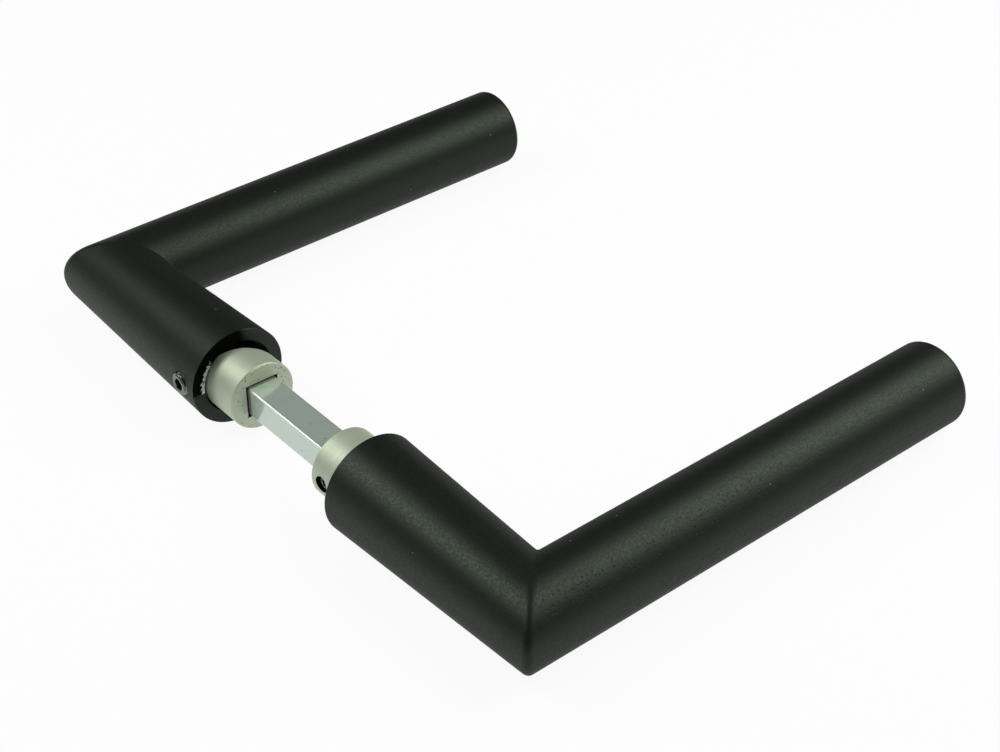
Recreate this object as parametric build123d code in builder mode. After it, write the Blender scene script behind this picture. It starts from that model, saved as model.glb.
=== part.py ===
"""Pair of straight, mitred door levers on one square spindle, in millimetres.

The spindle lies along Y and the grips point along +X. The fixed lever is on the -Y side and the
free lever, which slides on the spindle, is on the +Y side. The origin is on the spindle's axis,
halfway between the mouths of the two necks.
"""

import os
from math import acos, atan2, hypot, radians, sqrt, tan

from build123d import *

# Levers
grip_diameter = 22.0
lever_reach = 129.0  # spindle axis to the flat end of the grip
grip_end_radius = 1.5
neck_length = 56.5  # mouth of the neck to the axis of the grip
mouth_diameter = 26.0
mouth_edge_chamfer = 0.25
mitre_soft_inside = 0.4  # to each side of the mitre at the inner corner, where its crease is rounded over
mitre_soft_outside = 1.2  # the same at the outer corner
mouth_spacing = 54.0  # between the two mouths, as the free lever is set here

# Holes in the neck
recess_depth = 2.5
recess_edge_chamfer = 0.15
spindle_hole_depth = 44.0
drill_point_angle = 118.0

# Collars
journal_diameter = 18.0
journal_stand_out = 10.6  # front face to the mouth of the neck
journal_edge_chamfer = 0.3
shank_diameter = 17.0
shank_length = 20.0
shank_end_chamfer = 0.6

# Spindle
spindle_width = 8.0
spindle_length = 120.0
spindle_in_fixed_neck = 35.0
spindle_edge_radius = 0.35
spindle_end_chamfer = 0.8

# Clamp screw, in the neck of the free lever
clamp_screw_diameter = 6.0
clamp_screw_length = 8.0
clamp_screw_socket = 3.0  # across the flats of the hexagon
clamp_screw_from_mouth = 6.3
clamp_screw_backed_off = 1.4  # from its point to the spindle, as it is set here
clamp_hole_edge_chamfer = 0.3

# Spindle screw, in the fixed collar
spindle_screw_diameter = 4.0
spindle_screw_length = 4.0
spindle_screw_socket = 2.0  # across the flats of the hexagon
spindle_screw_from_front = 3.9

# Form of both set screws, as shares of their diameter or length
screw_end_chamfer_share = 0.08
screw_point_share = 0.6
screw_socket_depth_share = 0.5

# Clearances
recess_clearance = 0.6  # round the journal, for the bearing of a rose
seat_clearance = 0.03  # round the shank
shank_end_gap = 0.5
spindle_side_clearance = 0.32  # to each side of the square hole
spindle_corner_clearance = 0.35  # in the drilled hole
thread_clearance = 0.05
spindle_screw_seat_gap = 0.05

# Sizes worked out from those above
grip_radius = grip_diameter / 2
mouth_radius = mouth_diameter / 2
mouth_y = mouth_spacing / 2
grip_y = mouth_y + neck_length
journal_radius = journal_diameter / 2
shank_radius = shank_diameter / 2
recess_radius = journal_radius + recess_clearance
recess_floor_y = mouth_y + recess_depth
seat_radius = shank_radius + seat_clearance
seat_floor_y = recess_floor_y + shank_length + shank_end_gap
spindle_hole_radius = spindle_width / sqrt(2) + spindle_corner_clearance
spindle_hole_floor_y = mouth_y + spindle_hole_depth
drill_point_y = spindle_hole_floor_y + spindle_hole_radius / tan(radians(drill_point_angle / 2))
collar_front_y = mouth_y - journal_stand_out
shank_end_y = recess_floor_y + shank_length
square_hole_width = spindle_width + 2 * spindle_side_clearance
spindle_fixed_end_y = -mouth_y - spindle_in_fixed_neck
clamp_screw_y = mouth_y + clamp_screw_from_mouth
spindle_screw_y = -collar_front_y - spindle_screw_from_front

# The neck is the cone that touches the same ball as the grip does at the corner, so that cone and
# grip meet in one flat ellipse, the mitre
neck_taper = acos(grip_radius / hypot(mouth_radius, neck_length)) - atan2(neck_length, mouth_radius)


def neck_radius(y):
    """Outside radius of the free lever's neck at y."""
    return mouth_radius - (y - mouth_y) * tan(neck_taper)


# The mitre runs from the inside to the outside of the corner, and its normal points along the grip
inner_corner = Vector(neck_radius(grip_y - grip_radius), grip_y - grip_radius)
outer_corner = Vector(-neck_radius(grip_y + grip_radius), grip_y + grip_radius)
mitre_line = (inner_corner - outer_corner).normalized()
mitre_normal = Vector(-mitre_line.Y, mitre_line.X)

# Straight lines of the neck and of the grip that run through those two corners
neck_inner_line = Vector(-tan(neck_taper), 1)
neck_outer_line = Vector(tan(neck_taper), 1)
grip_line = Vector(1, 0)


def beside_mitre(corner, line, offset):
    """Point on a line through a corner of the mitre, at offset from the mitre's plane."""
    return corner + line * (offset / line.dot(mitre_normal))


def cut_plane(inner, outer):
    """Upright plane through an inner and an outer point, centred between them and facing along the grip."""
    line = (inner - outer).normalized()
    return Plane(origin=(inner + outer) / 2, x_dir=line, z_dir=(-line.Y, line.X, 0))


# Ends of the ellipses where the rounded crease leaves the neck and the grip
neck_cut_inner = beside_mitre(inner_corner, neck_inner_line, -mitre_soft_inside)
neck_cut_outer = beside_mitre(outer_corner, neck_outer_line, -mitre_soft_outside)
neck_cut_half_width = sqrt(neck_radius(neck_cut_inner.Y) * neck_radius(neck_cut_outer.Y))
grip_cut_inner = beside_mitre(inner_corner, grip_line, mitre_soft_inside)
grip_cut_outer = beside_mitre(outer_corner, grip_line, mitre_soft_outside)
grip_cut_half_width = grip_radius

# Halfway through, the crease is the middle of a curve that leaves both along their straight lines
crease_inner = (neck_cut_inner + inner_corner * 2 + grip_cut_inner) / 4
crease_outer = (neck_cut_outer + outer_corner * 2 + grip_cut_outer) / 4
crease_half_width = (neck_cut_half_width + grip_radius * 2 + grip_cut_half_width) / 4


def set_screw(point_x, y, diameter, length, socket):
    """Hexagon socket set screw along X, with its cupped point at point_x and its driven end towards -X."""
    radius = diameter / 2
    end_x = point_x - length
    end_chamfer = diameter * screw_end_chamfer_share
    point_radius = radius * screw_point_share
    with BuildPart() as screw:
        with BuildSketch(Plane.XY):
            with BuildLine():
                Polyline(
                    (point_x - point_radius, y),
                    (point_x, y + point_radius),
                    (point_x - (radius - point_radius), y + radius),
                    (end_x + end_chamfer, y + radius),
                    (end_x, y + radius - end_chamfer),
                    (end_x, y),
                    close=True,
                )
            make_face()
        revolve(axis=Axis((0, y, 0), (1, 0, 0)))
        with BuildSketch(Plane(origin=(end_x, y, 0), x_dir=(0, 1, 0), z_dir=(1, 0, 0))):
            RegularPolygon(socket / 2, 6, major_radius=False)
        extrude(amount=length * screw_socket_depth_share, mode=Mode.SUBTRACT)
    return screw


# Rounded crease between neck and grip
with BuildPart() as crease:
    for inner, outer, half_width in (
        (neck_cut_inner, neck_cut_outer, neck_cut_half_width),
        (crease_inner, crease_outer, crease_half_width),
        (grip_cut_inner, grip_cut_outer, grip_cut_half_width),
    ):
        with BuildSketch(cut_plane(inner, outer)):
            Ellipse((inner - outer).length / 2, half_width)
    loft()

# Grip, cut off at the crease
with BuildPart() as grip:
    with BuildSketch(Plane.YZ.offset(lever_reach)):
        with Locations((grip_y, 0)):
            Circle(grip_radius)
    extrude(amount=-(lever_reach + grip_diameter))
    fillet(grip.faces().sort_by(Axis.X)[-1].edges(), grip_end_radius)
    split(bisect_by=cut_plane(grip_cut_inner, grip_cut_outer), keep=Keep.TOP)

# Lever without a clamp screw hole: conical neck with its stepped hole, crease and grip
with BuildPart() as lever_blank:
    neck_end_y = grip_y + grip_diameter
    with BuildSketch(Plane.XY):
        with BuildLine():
            Polyline(
                (recess_radius + recess_edge_chamfer, mouth_y),
                (mouth_radius - mouth_edge_chamfer, mouth_y),
                (neck_radius(mouth_y + mouth_edge_chamfer), mouth_y + mouth_edge_chamfer),
                (neck_radius(neck_end_y), neck_end_y),
                (0, neck_end_y),
                (0, drill_point_y),
                (spindle_hole_radius, spindle_hole_floor_y),
                (spindle_hole_radius, seat_floor_y),
                (seat_radius, seat_floor_y),
                (seat_radius, recess_floor_y),
                (recess_radius, recess_floor_y),
                (recess_radius, mouth_y + recess_edge_chamfer),
                close=True,
            )
        make_face()
    revolve(axis=Axis.Y)
    split(bisect_by=cut_plane(neck_cut_inner, neck_cut_outer), keep=Keep.BOTTOM)
    add(crease.part)
    add(grip.part)

with BuildPart() as fixed_lever:
    add(lever_blank.part.mirror(Plane.XZ))

with BuildPart() as free_lever:
    add(lever_blank.part)
    with Locations(Plane(origin=(-mouth_radius, clamp_screw_y, 0), z_dir=(-1, 0, 0))):
        Hole(clamp_screw_diameter / 2 + thread_clearance, depth=mouth_radius)
    clamp_hole_edge = free_lever.edges(Select.LAST).sort_by(Axis.X)[0]
    chamfer(clamp_hole_edge, clamp_hole_edge_chamfer)

# Collar without a cross hole: journal, shank and square hole
with BuildPart() as collar_blank:
    with BuildSketch(Plane.XY):
        with BuildLine():
            Polyline(
                (0, collar_front_y),
                (journal_radius - journal_edge_chamfer, collar_front_y),
                (journal_radius, collar_front_y + journal_edge_chamfer),
                (journal_radius, recess_floor_y),
                (shank_radius, recess_floor_y),
                (shank_radius, shank_end_y - shank_end_chamfer),
                (shank_radius - shank_end_chamfer, shank_end_y),
                (0, shank_end_y),
                close=True,
            )
        make_face()
    revolve(axis=Axis.Y)
    with BuildSketch(Plane.XZ.offset(-shank_end_y)):
        Rectangle(square_hole_width, square_hole_width)
    extrude(amount=shank_end_y - collar_front_y, mode=Mode.SUBTRACT)

with BuildPart() as fixed_collar:
    add(collar_blank.part.mirror(Plane.XZ))
    with Locations(Plane(origin=(-journal_radius, spindle_screw_y, 0), z_dir=(-1, 0, 0))):
        Hole(spindle_screw_diameter / 2 + thread_clearance, depth=journal_radius)

with BuildPart() as free_collar:
    add(collar_blank.part)
    with Locations(Plane(origin=(-shank_radius, clamp_screw_y, 0), z_dir=(-1, 0, 0))):
        Hole(clamp_screw_diameter / 2 + thread_clearance, depth=shank_radius)

with BuildPart() as spindle:
    with BuildSketch(Plane.XZ.offset(-spindle_fixed_end_y)):
        Rectangle(spindle_width, spindle_width)
    extrude(amount=-spindle_length)
    chamfer(spindle.faces().filter_by(Axis.Y).edges(), spindle_end_chamfer)
    fillet(spindle.edges().filter_by(Axis.Y), spindle_edge_radius)

clamp_screw = set_screw(
    -spindle_width / 2 - clamp_screw_backed_off,
    clamp_screw_y,
    clamp_screw_diameter,
    clamp_screw_length,
    clamp_screw_socket,
)
spindle_screw = set_screw(
    -spindle_width / 2 - spindle_screw_seat_gap,
    spindle_screw_y,
    spindle_screw_diameter,
    spindle_screw_length,
    spindle_screw_socket,
)

os.makedirs("parts", exist_ok=True)
pieces = {
    "fixed_lever": fixed_lever,
    "free_lever": free_lever,
    "fixed_collar": fixed_collar,
    "free_collar": free_collar,
    "spindle": spindle,
    "clamp_screw": clamp_screw,
    "spindle_screw": spindle_screw,
}
for name, piece in pieces.items():
    piece.part.label = name
    export_step(piece.part, f"parts/{name}.step")
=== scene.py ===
"""Finishes, threaded set screws and a photo table for a pair of door levers on a square spindle."""

import math

import bmesh
import bpy
from bpy.props import FloatProperty, FloatVectorProperty, IntProperty, PointerProperty
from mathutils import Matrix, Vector


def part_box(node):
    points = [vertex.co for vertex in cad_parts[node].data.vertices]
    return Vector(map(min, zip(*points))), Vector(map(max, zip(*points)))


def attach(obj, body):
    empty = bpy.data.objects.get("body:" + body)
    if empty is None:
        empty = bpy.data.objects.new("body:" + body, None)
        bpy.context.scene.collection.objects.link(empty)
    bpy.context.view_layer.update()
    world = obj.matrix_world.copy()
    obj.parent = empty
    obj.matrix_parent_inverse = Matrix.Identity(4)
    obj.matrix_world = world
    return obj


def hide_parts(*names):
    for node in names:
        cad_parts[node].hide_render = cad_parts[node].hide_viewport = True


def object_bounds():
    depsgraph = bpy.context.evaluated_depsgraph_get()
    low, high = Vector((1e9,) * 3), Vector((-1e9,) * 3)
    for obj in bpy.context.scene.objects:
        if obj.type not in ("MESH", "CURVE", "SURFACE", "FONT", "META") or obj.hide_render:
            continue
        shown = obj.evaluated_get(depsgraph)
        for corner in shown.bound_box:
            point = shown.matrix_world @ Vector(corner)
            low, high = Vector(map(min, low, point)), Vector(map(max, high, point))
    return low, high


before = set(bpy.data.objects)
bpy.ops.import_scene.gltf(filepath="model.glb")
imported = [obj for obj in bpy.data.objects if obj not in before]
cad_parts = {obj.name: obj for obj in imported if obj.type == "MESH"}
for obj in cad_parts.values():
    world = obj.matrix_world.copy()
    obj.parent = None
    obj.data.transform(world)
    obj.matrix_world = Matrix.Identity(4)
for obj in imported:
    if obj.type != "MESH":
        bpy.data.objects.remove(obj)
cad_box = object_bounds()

bl_info = {
    "name": "Door Lever Pair",
    "version": (1, 0, 0),
    "blender": (4, 5, 0),
    "location": "View3D > Sidebar > Door Lever",
    "description": "Dresses a pair of mitred door levers, their collars, spindle and set screws",
    "category": "Object",
}

LEVERS = ("fixed_lever", "free_lever")
COLLARS = ("fixed_collar", "free_collar")
SCREWS = ("clamp_screw", "spindle_screw")
MILLIMETRE = 0.001

# The two axes square to X and to Y
ACROSS_X = (0.0, 1.0, 1.0)
ACROSS_Y = (1.0, 0.0, 1.0)

# The Mix node's sockets for colours
FIRST_COLOUR, SECOND_COLOUR, MIXED_COLOUR = 6, 7, 2


def colour_property(name, description, default):
    """A colour that the user can change, in linear light."""
    return FloatVectorProperty(
        name=name, description=description, default=default, size=3, min=0.0, max=1.0, subtype="COLOR"
    )


def length_property(name, description, millimetres):
    """A length that the user can change, stored in metres."""
    return FloatProperty(
        name=name, description=description, default=millimetres * MILLIMETRE, min=0.0, precision=6,
        subtype="DISTANCE", unit="LENGTH",
    )


def share_property(name, description, default):
    """A number from 0 to 1."""
    return FloatProperty(
        name=name, description=description, default=default, min=0.0, max=1.0, subtype="FACTOR"
    )


def angle_property(name, description, degrees):
    """An angle that the user can change, stored in radians."""
    return FloatProperty(name=name, description=description, default=math.radians(degrees), subtype="ANGLE")


def place_property(name, description, default):
    """A point in the row frame that the user can change, in metres."""
    return FloatVectorProperty(
        name=name, description=description, default=default, size=3, subtype="TRANSLATION", unit="LENGTH"
    )


def brightness_property(name, default):
    """Brightness of a light, where 1 is the white of the picture."""
    description = "Brightness of the light, where 1 is the white of the picture"
    return FloatProperty(name=name, description=description, default=default, min=0.0)


class DoorLeverCoat(bpy.types.PropertyGroup):
    """Black powder coat of the levers, its pits and dust, and the places where it is worn or matt."""

    colour: colour_property("Coat Colour", "Colour between the coat's grains", (0.0004, 0.0005, 0.0004))
    grain_colour: colour_property("Grain Colour", "Colour of the grains' tops", (0.0010, 0.0012, 0.0010))
    roughness: share_property("Coat Roughness", "Roughness of the coat's gloss", 0.5)
    dull_below: share_property("Dull Below", "How much rougher the coat is on the underside", 0.17)
    dull_behind: share_property("Dull Behind", "How much rougher the coat is away from the spray gun", 0.2)
    gloss: share_property("Coat Gloss", "Strength of the coat's reflection", 0.38)
    tint: colour_property("Coat Tint", "Colour of the coat's reflection", (0.81, 1.0, 0.77))
    grain_size: length_property("Grain Size", "Width of one grain of the coat", 0.55)
    grain_depth: length_property("Grain Depth", "Height of the grains", 0.026)
    pit_spacing: length_property("Pit Spacing", "Distance between small pits in the coat", 0.9)
    pit_radius: length_property("Pit Radius", "Radius of a small pit in the coat", 0.31)
    pit_depth: length_property("Pit Depth", "Depth of a small pit in the coat", 0.0832)
    pits_left_out: share_property("Pits Left Out", "Share of the pits that are left out", 0.42)
    dust_spacing: length_property("Dust Spacing", "Distance between specks of dust in the coat", 5.0)
    dust_radius: length_property("Dust Radius", "Radius of a speck of dust", 0.22)
    dust_left_out: share_property("Dust Left Out", "Share of the specks of dust that are left out", 0.55)
    dust_colour: colour_property("Dust Colour", "Colour of a speck of dust", (0.16, 0.17, 0.16))
    bare_colour: colour_property("Bare Metal Colour", "Colour of the worn metal", (0.62, 0.62, 0.58))
    bare_radius: length_property("Bare Radius", "How far the worn metal reaches from the axis", 10.54)
    chip_size: length_property("Chip Size", "Width of a chip at the edge of the worn metal", 0.9)
    chip_wander: length_property("Chip Wander", "How far the edge of the worn metal wanders", 2.4)
    coat_left: length_property("Coat Left", "Width of the specks of coat left on the worn metal", 0.6)
    worn_side: length_property("Worn Side", "Where the wear starts, from the axis to the screw's side", 7.5)
    parting_drop: length_property("Parting Drop", "How far below the axis wear and matt part end", 0.6)
    matt_side: length_property("Matt Side", "Where the matt part of the free mouth ends, past the axis", 2.5)
    matt_gloss: share_property("Matt Gloss", "Strength of the reflection on the free mouth's matt part", 0.03)


class DoorLeverPlating(bpy.types.PropertyGroup):
    """Plated finishes of the collars and the spindle, and the bare steel of the set screws."""

    nickel_colour: colour_property("Nickel Colour", "Colour of the nickel collars", (0.50, 0.565, 0.425))
    nickel_roughness: share_property("Nickel Roughness", "Roughness of the collars", 0.56)
    nickel_metal: share_property("Nickel Metal", "Share of mirror-like metal in the collars' finish", 0.62)
    nickel_gloss: share_property("Nickel Gloss", "Strength of the reflection on the rest of the finish", 0.5)
    lathe_spacing: length_property("Lathe Spacing", "Distance between the collars' turning lines", 0.35)
    lathe_depth: length_property("Lathe Depth", "Depth of the collars' turning lines", 0.003)
    pit_size: length_property("Pit Size", "Width of the small pits in the collars", 0.6)
    dirt_spacing: length_property("Dirt Spacing", "Distance between specks of dirt on the collars", 1.1)
    dirt_radius: length_property("Dirt Radius", "Radius of a speck of dirt", 0.27)
    dirt_left_out: share_property("Dirt Left Out", "Share of the specks of dirt that are left out", 0.58)
    # The next three settings place the shade painted dark on the collars: in and round the square hole, and
    # in the holes round the screws.
    square_hole: length_property("Square Hole", "Width of the collars' square hole, dark inside", 8.64)
    shaded_rim: length_property("Shaded Rim", "Width of the dark rim round the square hole", 0.22)
    screw_gap: length_property("Screw Gap", "Width of the dark gap round each screw", 0.09)
    # The next four settings shape the band of painted shade on the free collar next to the free lever's
    # mouth: the slope and unevenness of its edge and how far it reaches from the mouth.
    shade_slope: FloatProperty(
        name="Shade Slope", default=0.46,
        description="Slope of the edge of the coat that ran onto the free collar",
    )
    shade_start: length_property("Shade Start", "How far the coat ran onto the free collar above its axis", 1.43)
    shade_spots: length_property("Shade Spots", "Width of the uneven spots at the edge of that coat", 0.8)
    shade_wander: length_property("Shade Wander", "How far the edge of that coat wanders", 0.4)
    zinc_colour: colour_property("Zinc Colour", "Colour of the zinc-plated spindle", (0.55, 0.65, 0.575))
    zinc_roughness: share_property("Zinc Roughness", "Roughness of the spindle", 0.13)
    zinc_metal: share_property("Zinc Metal", "Share of mirror-like metal in the spindle's finish", 0.57)
    streak_width: length_property("Streak Width", "Width of the streaks along the spindle", 0.5)
    streak_depth: length_property("Streak Depth", "Depth of the streaks along the spindle", 0.0001)
    streak_stretch: FloatProperty(
        name="Streak Stretch", default=25.0, min=1.0, description="Length of a streak over its width"
    )
    cloud_size: length_property("Cloud Size", "Width of the soft clouds in the zinc", 5.0)
    spot_size: length_property("Spot Size", "Width of the dull spots in the zinc", 1.1)
    # The next three settings shape the spindle's edges, which are partly worn and partly painted brighter as
    # a highlight line where they catch the light.
    worn_highlight_width: length_property("Worn Highlight Width", "Width of the spindle's rubbed edges", 0.37)
    worn_highlight_colour: colour_property("Worn Highlight Colour", "Colour of the rubbed edges", (0.86, 0.90, 0.87))
    worn_highlight_roughness: share_property("Worn Highlight Roughness", "Roughness of the rubbed edges", 0.45)
    steel_colour: colour_property("Screw Colour", "Colour of the bare steel screws", (0.21, 0.225, 0.195))
    steel_roughness: share_property("Screw Roughness", "Roughness of the screws", 0.3)
    stain_size: length_property("Stain Size", "Width of the stains on the screws", 0.9)
    stain_depth: length_property("Stain Depth", "Height of the stains on the screws", 0.004)


class DoorLeverScrews(bpy.types.PropertyGroup):
    """Threads and sockets of the two set screws."""

    clamp_pitch: length_property("Clamp Screw Pitch", "Travel in one turn of the clamp screw", 1.0)
    clamp_socket: length_property("Clamp Screw Socket", "Width across the socket's flats", 3.0)
    spindle_pitch: length_property("Spindle Screw Pitch", "Travel in one turn of the spindle screw", 0.7)
    spindle_socket: length_property("Spindle Screw Socket", "Width across the socket's flats", 2.0)
    thread_depth_share: share_property("Thread Depth", "Thread depth as a share of the pitch", 0.61)
    end_chamfer_share: share_property("End Chamfer", "End chamfer as a share of the diameter", 0.08)
    point_share: share_property("Point Width", "Width of the cup point as a share of the diameter", 0.6)
    socket_depth_share: share_property("Socket Depth", "Socket depth as a share of the length", 0.5)
    points_round: IntProperty(name="Points Round", description="Points round a screw", default=72, min=24)
    rings_per_turn: IntProperty(name="Rings per Turn", description="Rings in one turn", default=10, min=6)
    sharp_angle: angle_property("Sharp Angle", "Angle from which an edge of a screw looks sharp", 35.0)


class DoorLeverStage(bpy.types.PropertyGroup):
    """Camera, lights and table."""

    camera_azimuth: angle_property("Camera Azimuth", "Turn of the camera about the object", -39.82)
    camera_elevation: angle_property("Camera Elevation", "Height of the camera above the horizon", 36.13)
    camera_distance: length_property("Camera Distance", "Distance from the camera to its target", 481.15)
    camera_target: place_property(
        "Camera Target", "Point at the middle of the picture", (0.05055, -0.01257, -0.00148)
    )
    frame_width: FloatProperty(
        name="Frame Width", description="Width of the picture in the camera", default=36.0, unit="CAMERA"
    )
    focal_length: FloatProperty(
        name="Focal Length", description="Focal length of the lens", default=70.25, unit="CAMERA"
    )
    floor_colour: colour_property("Floor Colour", "Colour of the photo table", (0.06, 0.06, 0.06))
    floor_roughness: share_property("Floor Roughness", "Roughness of the photo table", 0.9)
    floor_glow: share_property("Floor Glow", "Light that comes through the table from below", 0.93)
    floor_width: length_property("Floor Width", "Side of the table", 6000.0)
    sky_colour: colour_property("Room Colour", "Soft light from all round the room", (0.142, 0.142, 0.142))
    right_box: place_property(
        "Right Light Box", "Place of the soft box beside the grips", (0.478, -0.298, 0.572)
    )
    right_width: length_property("Right Box Width", "Side of the soft box beside the grips", 530.0)
    right_radiance: brightness_property("Right Box Brightness", 4.85)
    left_box: place_property(
        "Left Light Box", "Place of the soft box beside the necks", (-0.337, 0.338, 0.568)
    )
    left_width: length_property("Left Box Width", "Side of the soft box beside the necks", 330.0)
    left_radiance: brightness_property("Left Box Brightness", 8.9)


def add_node(tree, kind, inputs=None, **settings):
    """Adds a node, sets its own settings, then gives each named input its value or its link."""
    node = tree.nodes.new(kind)
    for name, value in settings.items():
        setattr(node, name, value)
    for key, value in (inputs or {}).items():
        if isinstance(value, bpy.types.NodeSocket):
            tree.links.new(value, node.inputs[key])
        else:
            node.inputs[key].default_value = value
    return node


def start_material(name):
    """A new material without nodes, and its node tree."""
    material = bpy.data.materials.new(name)
    material.use_nodes = True
    material.node_tree.nodes.clear()
    return material, material.node_tree


def add_surface(tree, inputs):
    """Ends a material with its surface, whose inputs are values or links."""
    surface = add_node(tree, "ShaderNodeBsdfPrincipled", inputs)
    add_node(tree, "ShaderNodeOutputMaterial", {"Surface": surface.outputs["BSDF"]})


def object_place(tree):
    """The point on the surface in the row frame, in metres, which goes with the piece when it moves."""
    return add_node(tree, "ShaderNodeTexCoord").outputs["Object"]


def noise(tree, place, size, detail=2.0):
    """Soft random spots of about that size, from 0 to 1."""
    inputs = {"Vector": place, "Scale": 1.0 / size, "Detail": detail}
    return add_node(tree, "ShaderNodeTexNoise", inputs).outputs["Fac"]


def calculate(tree, operation, *values):
    """One arithmetic step."""
    return add_node(tree, "ShaderNodeMath", dict(enumerate(values)), operation=operation).outputs[0]


def multiply(tree, share, *others):
    """Several shares multiplied together."""
    for other in others:
        share = calculate(tree, "MULTIPLY", share, other)
    return share


def fade(tree, value, start, end, low=0.0, high=1.0):
    """A smooth step from low, where the value is at start, to high, where it is at end."""
    inputs = {"Value": value, "From Min": start, "From Max": end, "To Min": low, "To Max": high}
    return add_node(tree, "ShaderNodeMapRange", inputs, interpolation_type="SMOOTHSTEP").outputs["Result"]


def over(tree, value, edge, soft):
    """1 where the value is over an edge and 0 where it is under it, with a blend of that width."""
    return fade(tree, value, edge - 0.5 * soft, edge + 0.5 * soft)


def under(tree, value, edge, soft):
    """1 where the value is under an edge and 0 where it is over it, with a blend of that width."""
    return fade(tree, value, edge + 0.5 * soft, edge - 0.5 * soft)


def darker(colour, left):
    """A colour with that share of its brightness left."""
    return tuple(left * channel for channel in colour)


def blend_colours(tree, share, first, second):
    """The first colour where the share is 0, the second where it is 1. Each is a colour or a link."""
    inputs = {"Factor": share}
    for socket, colour in ((FIRST_COLOUR, first), (SECOND_COLOUR, second)):
        inputs[socket] = colour if isinstance(colour, bpy.types.NodeSocket) else (*colour, 1.0)
    return add_node(tree, "ShaderNodeMix", inputs, data_type="RGBA").outputs[MIXED_COLOUR]


def bump(tree, height, depth):
    """The normal of a surface with that relief."""
    return add_node(tree, "ShaderNodeBump", {"Height": height, "Distance": depth}).outputs["Normal"]


def split_place(tree, place):
    """The X, Y and Z of a point."""
    return add_node(tree, "ShaderNodeSeparateXYZ", {"Vector": place}).outputs


def distance_from_axis(tree, place, across):
    """Distance from a line along an axis, where across is 1 on the two axes square to it and 0 along it."""
    flat = add_node(tree, "ShaderNodeVectorMath", {0: place, 1: across}, operation="MULTIPLY")
    inputs = {0: flat.outputs["Vector"]}
    return add_node(tree, "ShaderNodeVectorMath", inputs, operation="LENGTH").outputs["Value"]


def specks(tree, place, spacing, radius, left_out):
    """1 on small round specks about that far apart, with soft edges and a share of them left out."""
    cells = add_node(tree, "ShaderNodeTexVoronoi", {"Vector": place, "Scale": 1.0 / spacing})
    reach = radius / spacing
    near = fade(tree, cells.outputs["Distance"], reach, 0.5 * reach)
    picked = calculate(tree, "GREATER_THAN", cells.outputs["Color"], left_out)
    return multiply(tree, near, picked)


def free_mouth_share(tree, y, depth):
    """1 on the free lever within that depth of its mouth, fading out over the last part of it."""
    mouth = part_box("free_lever")[0].y
    front = fade(tree, y, mouth + depth, mouth + 0.7 * depth)
    free_half = calculate(tree, "GREATER_THAN", y, 0.0)
    return multiply(tree, front, free_half)


def bare_share(tree, place, coat):
    """1 where the coat is chipped off the inner edge of the free lever's mouth, above the screw's side."""
    x, y, z = split_place(tree, place)
    radius = distance_from_axis(tree, place, ACROSS_Y)
    chips = noise(tree, place, coat.chip_size, 3.0)
    reach = calculate(tree, "MULTIPLY_ADD", chips, coat.chip_wander, radius)
    worn = under(tree, reach, coat.bare_radius + 0.5 * coat.chip_wander, 0.12 * MILLIMETRE)
    gone = fade(tree, noise(tree, place, coat.coat_left), 0.4, 0.46)
    beside = under(tree, x, -coat.worn_side, 1.0 * MILLIMETRE)
    above = over(tree, z, -coat.parting_drop, 0.4 * MILLIMETRE)
    return multiply(tree, worn, gone, beside, above, free_mouth_share(tree, y, 1.0 * MILLIMETRE))


def matt_share(tree, place, coat):
    """1 on the matt part of the free lever's end face, from its parting line up over the screw's side."""
    x, y, z = split_place(tree, place)
    beside = under(tree, x, coat.matt_side, 4.0 * MILLIMETRE)
    above = over(tree, z, -coat.parting_drop, 0.4 * MILLIMETRE)
    return multiply(tree, beside, above, free_mouth_share(tree, y, 0.3 * MILLIMETRE))


def pit_share(tree, place, coat):
    """1 on the small pits in a band along the fixed lever's grip, fewer towards its end."""
    x, y, z = split_place(tree, place)
    pits = specks(tree, place, coat.pit_spacing, coat.pit_radius, coat.pits_left_out)
    past_corner = over(tree, x, -3.0 * MILLIMETRE, 10.0 * MILLIMETRE)
    before_end = under(tree, x, 60.0 * MILLIMETRE, 100.0 * MILLIMETRE)
    band_bottom = over(tree, z, 6.0 * MILLIMETRE, 2.0 * MILLIMETRE)
    band_top = under(tree, z, 9.6 * MILLIMETRE, 1.6 * MILLIMETRE)
    fixed_half = calculate(tree, "LESS_THAN", y, 0.0)
    return multiply(tree, pits, past_corner, before_end, band_bottom, band_top, fixed_half)


def dull_share(tree, place):
    """1 on the levers' undersides, where the coat is duller, but half that under the free lever's neck."""
    x, y, z = split_place(tree, place)
    below = under(tree, z, 0.0, 6.0 * MILLIMETRE)
    grip = fade(tree, x, 8.0 * MILLIMETRE, 20.0 * MILLIMETRE, 0.5, 1.0)
    fixed_half = calculate(tree, "LESS_THAN", y, 0.0)
    return multiply(tree, below, calculate(tree, "MAXIMUM", grip, fixed_half))


def behind_share(tree):
    """1 on faces turned to the back right, away from the spray gun."""
    normal = add_node(tree, "ShaderNodeNewGeometry").outputs["Normal"]
    back_right = (0.7, 0.7, 0.0)
    inputs = {0: normal, 1: back_right}
    turned = add_node(tree, "ShaderNodeVectorMath", inputs, operation="DOT_PRODUCT").outputs["Value"]
    return fade(tree, turned, 0.1, 0.45)


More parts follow.
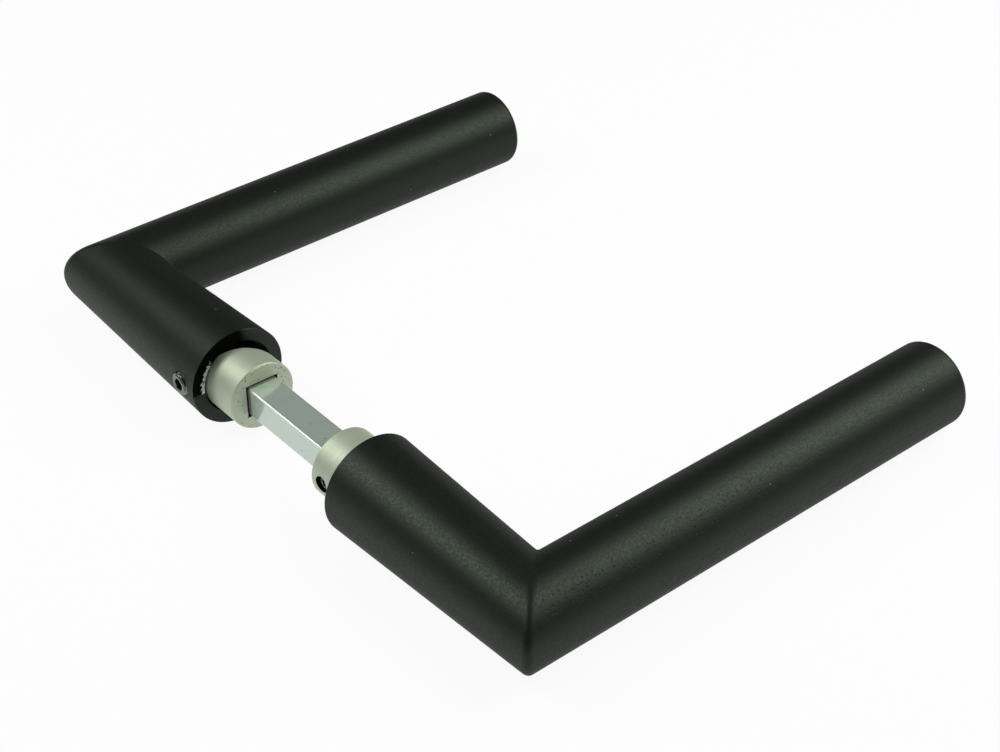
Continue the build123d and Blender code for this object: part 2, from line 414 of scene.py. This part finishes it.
def black_powder_coat(coat):
    """Fine-grained black coat with pits and specks of dust, worn to the metal at the free lever's mouth."""
    material, tree = start_material("black_powder_coat")
    place = object_place(tree)
    grain = noise(tree, place, coat.grain_size, 3.0)
    pits = pit_share(tree, place, coat)
    relief = calculate(tree, "MULTIPLY_ADD", pits, -coat.pit_depth / coat.grain_depth, grain)
    dust = specks(tree, place, coat.dust_spacing, coat.dust_radius, coat.dust_left_out)
    bare = bare_share(tree, place, coat)
    colour = blend_colours(tree, grain, coat.colour, coat.grain_colour)
    colour = blend_colours(tree, dust, colour, coat.dust_colour)
    colour = blend_colours(tree, bare, colour, coat.bare_colour)
    rough = fade(tree, grain, 0.3, 0.7, coat.roughness + 0.05, coat.roughness - 0.05)
    rough = calculate(tree, "MULTIPLY_ADD", dull_share(tree, place), coat.dull_below, rough)
    rough = calculate(tree, "MULTIPLY_ADD", behind_share(tree), coat.dull_behind, rough)
    gloss = fade(tree, matt_share(tree, place, coat), 0.0, 1.0, coat.gloss, coat.matt_gloss)
    add_surface(tree, {
        "Base Color": colour,
        "Metallic": bare,
        "Roughness": rough,
        "Specular IOR Level": gloss,
        "Specular Tint": (*coat.tint, 1.0),
        "Normal": bump(tree, relief, coat.grain_depth),
    })
    return material


def hole_shade_share(tree, place, plating):
    """1 where shade is painted: in the collars' square hole and on its rim, and in the holes for the screws.
    """
    x, _, z = split_place(tree, place)
    reach = calculate(tree, "MAXIMUM", calculate(tree, "ABSOLUTE", x), calculate(tree, "ABSOLUTE", z))
    share = calculate(tree, "LESS_THAN", reach, 0.5 * plating.square_hole + plating.shaded_rim)
    screw_side = calculate(tree, "LESS_THAN", x, 0.0)
    for screw in SCREWS:
        low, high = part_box(screw)
        inputs = {0: place, 1: 0.5 * (low + high)}
        from_screw = add_node(tree, "ShaderNodeVectorMath", inputs, operation="SUBTRACT").outputs["Vector"]
        beside = distance_from_axis(tree, from_screw, ACROSS_X)
        wall = calculate(tree, "LESS_THAN", beside, 0.5 * (high.y - low.y) + plating.screw_gap)
        share = calculate(tree, "MAXIMUM", share, multiply(tree, wall, screw_side))
    return share


def mouth_shade_share(tree, place, plating):
    """1 on a band of painted shade on the free collar next to the free lever's mouth, with a slanted, uneven
    edge.
    """
    x, y, _ = split_place(tree, place)
    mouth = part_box("free_lever")[0].y
    spots = noise(tree, place, plating.shade_spots)
    ragged = calculate(tree, "MULTIPLY_ADD", spots, plating.shade_wander, y)
    slanted = calculate(tree, "MULTIPLY_ADD", x, plating.shade_slope, ragged)
    return over(tree, slanted, mouth - plating.shade_start + 0.5 * plating.shade_wander, 0.2 * MILLIMETRE)


def dirt_share(tree, place, plating):
    """1 on specks of dirt on the collars' end faces."""
    _, y, _ = split_place(tree, place)
    behind_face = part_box("free_collar")[0].y + 0.1 * MILLIMETRE
    face = calculate(tree, "LESS_THAN", calculate(tree, "ABSOLUTE", y), behind_face)
    spots = specks(tree, place, plating.dirt_spacing, plating.dirt_radius, plating.dirt_left_out)
    return multiply(tree, spots, face)


def satin_nickel(plating, coat):
    """Turned nickel with fine lines, small pits and dirt, with shade painted dark in its holes, round its
    square hole and in a band next to the free lever's mouth.
    """
    material, tree = start_material("turned_satin_nickel")
    place = object_place(tree)
    _, y, _ = split_place(tree, place)
    radius = distance_from_axis(tree, place, ACROSS_Y)
    tool_path = add_node(tree, "ShaderNodeCombineXYZ", {"X": radius, "Y": y}).outputs["Vector"]
    lines = noise(tree, tool_path, plating.lathe_spacing, 3.0)
    pits = fade(tree, noise(tree, place, plating.pit_size), 0.74, 0.8)
    clouds = noise(tree, place, 6.0 * plating.pit_size)
    stains = calculate(tree, "MAXIMUM", pits, dirt_share(tree, place, plating))
    # Painted shade: the holes, the rim round the square hole and the band next to the free lever's mouth get
    # the coat's black colour, no metal and little reflection.
    dark = calculate(tree, "MAXIMUM", hole_shade_share(tree, place, plating), mouth_shade_share(tree, place, plating))
    colour = blend_colours(tree, clouds, plating.nickel_colour, darker(plating.nickel_colour, 0.9))
    colour = blend_colours(tree, stains, colour, darker(plating.nickel_colour, 0.3))
    colour = blend_colours(tree, dark, colour, coat.colour)
    rough = plating.nickel_roughness
    add_surface(tree, {
        "Base Color": colour,
        "Metallic": fade(tree, dark, 0.0, 1.0, plating.nickel_metal, 0.0),
        "Roughness": fade(tree, lines, 0.2, 0.8, rough - 0.05, rough + 0.05),
        "Specular IOR Level": fade(tree, dark, 0.0, 1.0, plating.nickel_gloss, coat.matt_gloss),
        "Normal": bump(tree, calculate(tree, "SUBTRACT", lines, pits), plating.lathe_depth),
    })
    return material


def bright_zinc(plating):
    """Bright plate on a drawn bar, with faint streaks along it, and edges worn bright and painted brighter
    still as a highlight line.
    """
    material, tree = start_material("bright_zinc_plate")
    place = object_place(tree)
    x, _, z = split_place(tree, place)
    across = calculate(tree, "MINIMUM", calculate(tree, "ABSOLUTE", x), calculate(tree, "ABSOLUTE", z))
    half_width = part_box("spindle")[1].x
    # Painted highlight: the spindle's edges get a brighter colour, full metal and more roughness, standing in
    # for the bright line where they catch the light as well as for their wear.
    worn_highlight = over(tree, across, half_width - plating.worn_highlight_width, 0.1 * MILLIMETRE)
    inputs = {"Vector": place, "Scale": (1.0, 1.0 / plating.streak_stretch, 1.0)}
    drawn = add_node(tree, "ShaderNodeMapping", inputs).outputs["Vector"]
    streaks = noise(tree, drawn, plating.streak_width, 3.0)
    clouds = noise(tree, place, plating.cloud_size, 3.0)
    spots = fade(tree, noise(tree, place, plating.spot_size, 1.0), 0.74, 0.78)
    colour = blend_colours(tree, clouds, plating.zinc_colour, darker(plating.zinc_colour, 0.9))
    colour = blend_colours(tree, spots, colour, darker(plating.zinc_colour, 0.5))
    colour = blend_colours(tree, worn_highlight, colour, plating.worn_highlight_colour)
    rough = fade(tree, streaks, 0.2, 0.8, plating.zinc_roughness - 0.03, plating.zinc_roughness + 0.04)
    rougher = plating.worn_highlight_roughness - plating.zinc_roughness
    add_surface(tree, {
        "Base Color": colour,
        "Metallic": fade(tree, worn_highlight, 0.0, 1.0, plating.zinc_metal, 1.0),
        "Roughness": calculate(tree, "MULTIPLY_ADD", worn_highlight, rougher, rough),
        "Normal": bump(tree, streaks, plating.streak_depth),
    })
    return material


def screw_steel(plating):
    """Bare steel with a slight stain."""
    material, tree = start_material("bare_screw_steel")
    stain = noise(tree, object_place(tree), plating.stain_size, 3.0)
    rough = plating.steel_roughness
    add_surface(tree, {
        "Base Color": blend_colours(tree, stain, darker(plating.steel_colour, 0.6), plating.steel_colour),
        "Metallic": 1.0,
        "Roughness": fade(tree, stain, 0.2, 0.8, rough + 0.1, rough - 0.05),
        "Normal": bump(tree, stain, plating.stain_depth),
    })
    return material


def dress(nodes, material):
    """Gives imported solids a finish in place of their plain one."""
    for name in nodes:
        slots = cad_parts[name].data.materials
        slots.clear()
        slots.append(material)


def thread_radius(along, angle, radius, pitch, depth):
    """Radius of a right-hand thread at a place along the screw and an angle round it.

    Its crest and its root are flat over a twelfth of the pitch.
    """
    half_flat = 1.0 / 24.0
    turn = (along / pitch + angle / math.tau) % 1.0
    flank = (abs(turn - 0.5) - half_flat) / (0.5 - 2.0 * half_flat)
    return radius - depth * min(max(flank, 0.0), 1.0)


def hexagon_radius(angle, width):
    """Distance from the middle of a hexagon to its side at an angle."""
    side = math.tau / 6
    return 0.5 * width / math.cos(angle % side - 0.5 * side)


def set_screw_rings(length, radius, pitch, socket, screws):
    """Rings of (place along, radius at an angle), from the socket's floor out and along to the cup point.

    The driven end is at 0 and the point at the screw's length.
    """
    chamfer = 2.0 * radius * screws.end_chamfer_share
    depth = pitch * screws.thread_depth_share
    face = radius - depth
    socket_depth = length * screws.socket_depth_share
    socket_mouth = 1.06 * socket / math.sqrt(3.0)
    socket_lead = 0.5 * (socket_mouth - 0.5 * socket)
    drill_point = 0.15 * socket
    point = radius * screws.point_share
    cup_depth = 0.4 * point
    cup_floor = 0.1 * point

    def hexagon(angle):
        return hexagon_radius(angle, socket)

    def turned(along):
        left = length - along
        cone = min(face + along * depth / chamfer, point + left)

        def at(angle):
            return min(cone, thread_radius(along, angle, radius, pitch, depth))

        return at

    count = max(2, round(length / pitch * screws.rings_per_turn))
    thread = [length * step / count for step in range(1, count)]
    return [
        (socket_depth + drill_point, lambda angle: drill_point),
        (socket_depth, hexagon),
        (socket_lead, hexagon),
        (0.0, lambda angle: max(socket_mouth, hexagon(angle))),
        (0.0, lambda angle: face),
        *((along, turned(along)) for along in thread),
        (length, lambda angle: point),
        (length - cup_depth, lambda angle: cup_floor),
    ]


def make_set_screw(node, pitch, socket, screws):
    """A socket set screw with a cut thread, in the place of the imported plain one."""
    low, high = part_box(node)
    length = high.x - low.x
    radius = 0.5 * (high.y - low.y)
    middle = 0.5 * (low + high)
    angles = [math.tau * step / screws.points_round for step in range(screws.points_round)]
    shape = bmesh.new()
    rings = []
    for along, radius_at in set_screw_rings(length, radius, pitch, socket, screws):
        ring = []
        for angle in angles:
            reach = radius_at(angle)
            ring.append(shape.verts.new((
                low.x + along, middle.y + reach * math.cos(angle), middle.z + reach * math.sin(angle),
            )))
        rings.append(ring)
    for ring, following in zip(rings, rings[1:]):
        for here, beside in zip(range(len(angles)), [*range(1, len(angles)), 0]):
            shape.faces.new((ring[here], ring[beside], following[beside], following[here]))
    shape.faces.new(rings[0])
    shape.faces.new(reversed(rings[-1]))
    bmesh.ops.recalc_face_normals(shape, faces=shape.faces)
    mesh = bpy.data.meshes.new(f"threaded_{node}")
    shape.to_mesh(mesh)
    shape.free()
    mesh.shade_smooth()
    mesh.set_sharp_from_angle(angle=screws.sharp_angle)
    screw = bpy.data.objects.new(f"threaded_{node}", mesh)
    bpy.context.scene.collection.objects.link(screw)
    return screw


class DOORLEVER_OT_coat_levers(bpy.types.Operator):
    """Give both levers their black powder coat"""

    bl_idname = "door_lever.coat_levers"
    bl_label = "Coat Levers"

    def execute(self, context):
        dress(LEVERS, black_powder_coat(context.scene.door_lever_coat))
        return {"FINISHED"}


class DOORLEVER_OT_plate_collars(bpy.types.Operator):
    """Give both collars their turned satin nickel"""

    bl_idname = "door_lever.plate_collars"
    bl_label = "Plate Collars"

    def execute(self, context):
        scene = context.scene
        dress(COLLARS, satin_nickel(scene.door_lever_plating, scene.door_lever_coat))
        return {"FINISHED"}


class DOORLEVER_OT_plate_spindle(bpy.types.Operator):
    """Give the spindle its bright zinc"""

    bl_idname = "door_lever.plate_spindle"
    bl_label = "Plate Spindle"

    def execute(self, context):
        dress(("spindle",), bright_zinc(context.scene.door_lever_plating))
        return {"FINISHED"}


class DOORLEVER_OT_thread_screws(bpy.types.Operator):
    """Make both set screws with their threads and sockets"""

    bl_idname = "door_lever.thread_screws"
    bl_label = "Thread Screws"

    def execute(self, context):
        screws = context.scene.door_lever_screws
        steel = screw_steel(context.scene.door_lever_plating)
        sizes = (
            (screws.clamp_pitch, screws.clamp_socket),
            (screws.spindle_pitch, screws.spindle_socket),
        )
        for node, (pitch, socket) in zip(SCREWS, sizes):
            screw = make_set_screw(node, pitch, socket, screws)
            screw.data.materials.append(steel)
            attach(screw, node)
            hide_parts(node)
        return {"FINISHED"}


def lowest_point(start, end):
    """Lowest point of the levers between two places along X."""
    points = (v.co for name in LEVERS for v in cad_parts[name].data.vertices)
    return min((point for point in points if start <= point.x <= end), key=lambda point: point.z)


def aim(thing, target):
    """Turns a camera or a light to look at a point."""
    direction = Vector(target) - thing.location
    thing.rotation_euler = direction.to_track_quat("-Z", "Y").to_euler()


def add_floor(stage):
    """The table, which touches the bottoms of the mouths and the ends of the grips."""
    near = lowest_point(cad_box[0].x, 0.5 * cad_box[1].x)
    far = lowest_point(0.9 * cad_box[1].x, cad_box[1].x)
    bpy.ops.mesh.primitive_plane_add(size=stage.floor_width)
    floor = bpy.context.object
    floor.name = "photo_table"
    floor.location = (near.x, 0.0, near.z)
    floor.rotation_euler = (0.0, -math.atan2(far.z - near.z, far.x - near.x), 0.0)
    material, tree = start_material("white_table")
    add_surface(tree, {
        "Base Color": (*stage.floor_colour, 1.0),
        "Roughness": stage.floor_roughness,
        "Specular IOR Level": 0.0,
        "Emission Color": (1.0, 1.0, 1.0, 1.0),
        "Emission Strength": stage.floor_glow,
    })
    floor.data.materials.append(material)


def add_light_box(name, place, width, radiance, target):
    """A square soft box that faces the object."""
    light = bpy.data.lights.new(name, "AREA")
    light.shape = "SQUARE"
    light.size = width
    light.energy = radiance * math.pi * width ** 2
    box = bpy.data.objects.new(name, light)
    bpy.context.scene.collection.objects.link(box)
    box.location = place
    aim(box, target)


def add_room(stage):
    """Even soft light from the room."""
    world = bpy.data.worlds.new("studio_room")
    world.use_nodes = True
    background = world.node_tree.nodes["Background"]
    background.inputs["Color"].default_value = (*stage.sky_colour, 1.0)
    bpy.context.scene.world = world


def add_camera(stage):
    """The camera at the photograph's angle."""
    azimuth, elevation = stage.camera_azimuth, stage.camera_elevation
    back = Vector((
        math.sin(azimuth) * math.cos(elevation),
        -math.cos(azimuth) * math.cos(elevation),
        math.sin(elevation),
    ))
    lens = bpy.data.cameras.new("photo_camera")
    lens.sensor_width = stage.frame_width
    lens.lens = stage.focal_length
    lens.clip_start = 0.01
    lens.clip_end = 20.0
    camera = bpy.data.objects.new("photo_camera", lens)
    bpy.context.scene.collection.objects.link(camera)
    camera.location = Vector(stage.camera_target) + back * stage.camera_distance
    aim(camera, stage.camera_target)
    bpy.context.scene.camera = camera


class DOORLEVER_OT_build_stage(bpy.types.Operator):
    """Set up the table, the lights and the camera"""

    bl_idname = "door_lever.build_stage"
    bl_label = "Build Stage"

    def execute(self, context):
        stage = context.scene.door_lever_stage
        add_floor(stage)
        for name, place, width, radiance in (
            ("right_light_box", stage.right_box, stage.right_width, stage.right_radiance),
            ("left_light_box", stage.left_box, stage.left_width, stage.left_radiance),
        ):
            add_light_box(name, place, width, radiance, stage.camera_target)
        add_room(stage)
        add_camera(stage)
        context.scene.view_settings.view_transform = "Standard"
        return {"FINISHED"}


OPERATORS = (
    DOORLEVER_OT_coat_levers,
    DOORLEVER_OT_plate_collars,
    DOORLEVER_OT_plate_spindle,
    DOORLEVER_OT_thread_screws,
    DOORLEVER_OT_build_stage,
)


class DOORLEVER_PT_sidebar(bpy.types.Panel):
    """Lists the steps that dress the levers"""

    bl_idname = "DOORLEVER_PT_sidebar"
    bl_label = "Door Lever Pair"
    bl_space_type = "VIEW_3D"
    bl_region_type = "UI"
    bl_category = "Door Lever"

    def draw(self, context):
        for operator in OPERATORS:
            self.layout.operator(operator.bl_idname)


GROUPS = {
    "door_lever_coat": DoorLeverCoat,
    "door_lever_plating": DoorLeverPlating,
    "door_lever_screws": DoorLeverScrews,
    "door_lever_stage": DoorLeverStage,
}


def register():
    for group in GROUPS.values():
        bpy.utils.register_class(group)
    for name, group in GROUPS.items():
        setattr(bpy.types.Scene, name, PointerProperty(type=group))
    for operator in OPERATORS:
        bpy.utils.register_class(operator)
    bpy.utils.register_class(DOORLEVER_PT_sidebar)


def unregister():
    bpy.utils.unregister_class(DOORLEVER_PT_sidebar)
    for operator in reversed(OPERATORS):
        bpy.utils.unregister_class(operator)
    for name, group in GROUPS.items():
        delattr(bpy.types.Scene, name)
        bpy.utils.unregister_class(group)


def main():
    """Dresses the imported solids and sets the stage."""
    register()
    bpy.ops.door_lever.coat_levers()
    bpy.ops.door_lever.plate_collars()
    bpy.ops.door_lever.plate_spindle()
    bpy.ops.door_lever.thread_screws()
    bpy.ops.door_lever.build_stage()


if __name__ == "__main__":
    main()
